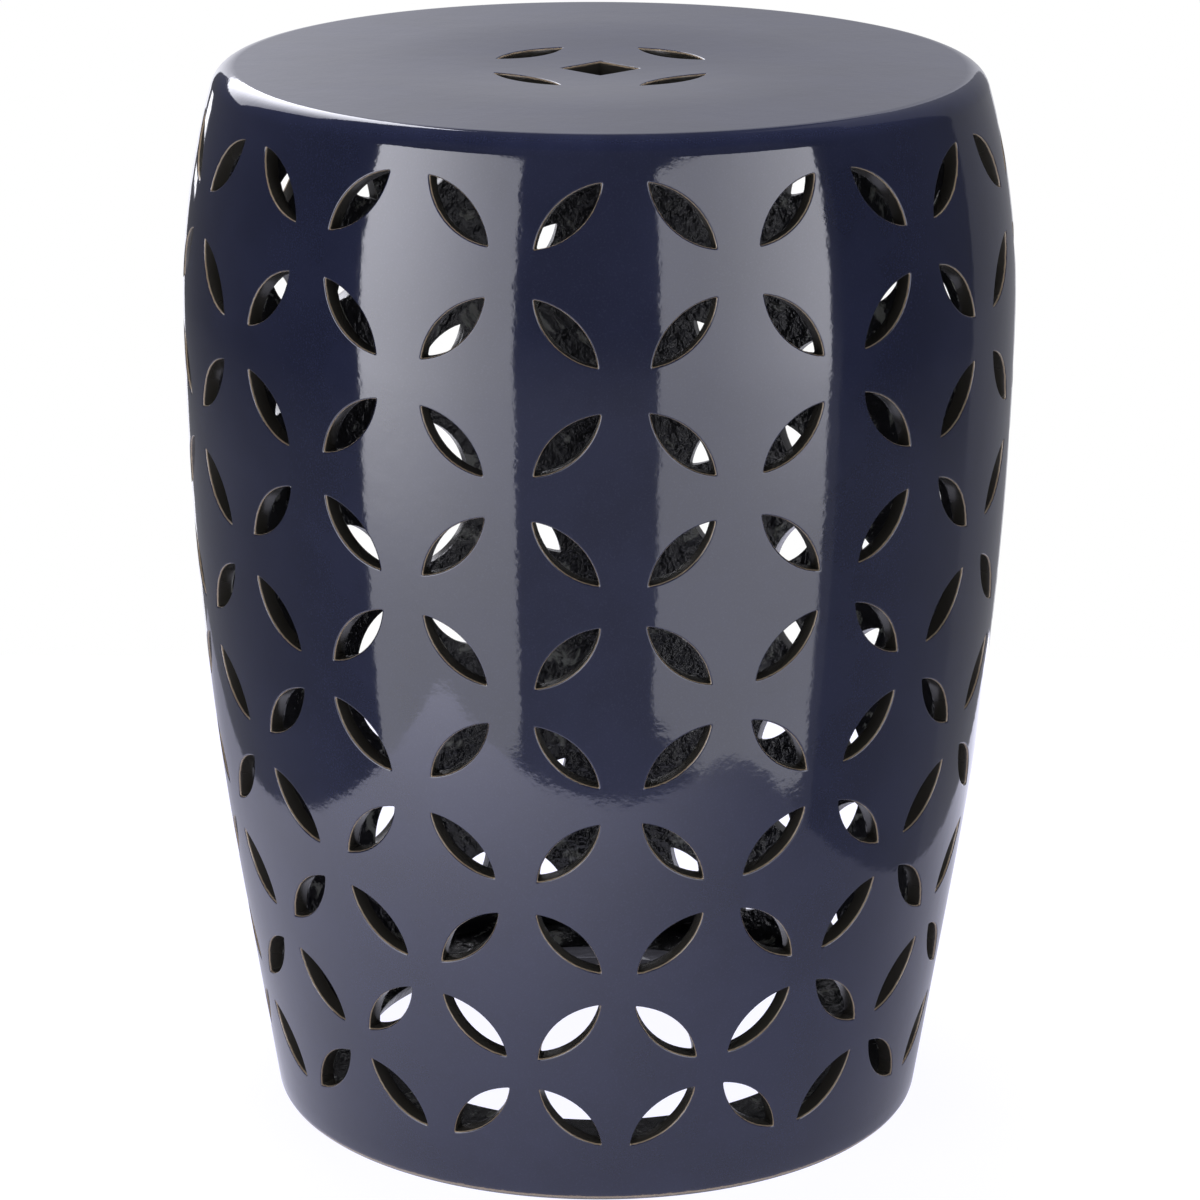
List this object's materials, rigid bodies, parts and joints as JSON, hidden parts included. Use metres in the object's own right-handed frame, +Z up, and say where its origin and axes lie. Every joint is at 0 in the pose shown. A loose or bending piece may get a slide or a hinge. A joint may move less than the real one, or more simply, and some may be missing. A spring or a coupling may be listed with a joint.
{
  "type": "ceramic garden stool",
  "caption": "Hollow barrel-shaped garden stool of dark blue glazed ceramic, pierced all round with a lattice of lens openings, with a coin cut-out in the seat.",
  "frame": {"origin": "centre of the foot ring, on the floor", "axes": "+Z up along the stool's axis, -Y to the front, +X to the right"},
  "size_m": [0.3532, 0.3532, 0.457],
  "materials": {
    "navy_glaze": "deep navy gloss glaze that breaks to a thin tan line at every cut edge",
    "inner_glaze": "the same glaze, thinner and darker, over the inside"
  },
  "bodies": {
    "root": {"barrel_wall": "navy_glaze", "seat_slab": "navy_glaze", "base_ledge": "inner_glaze", "base_luting_coil": "inner_glaze", "seat_luting_coil": "inner_glaze"}
  },
  "joints": []
}
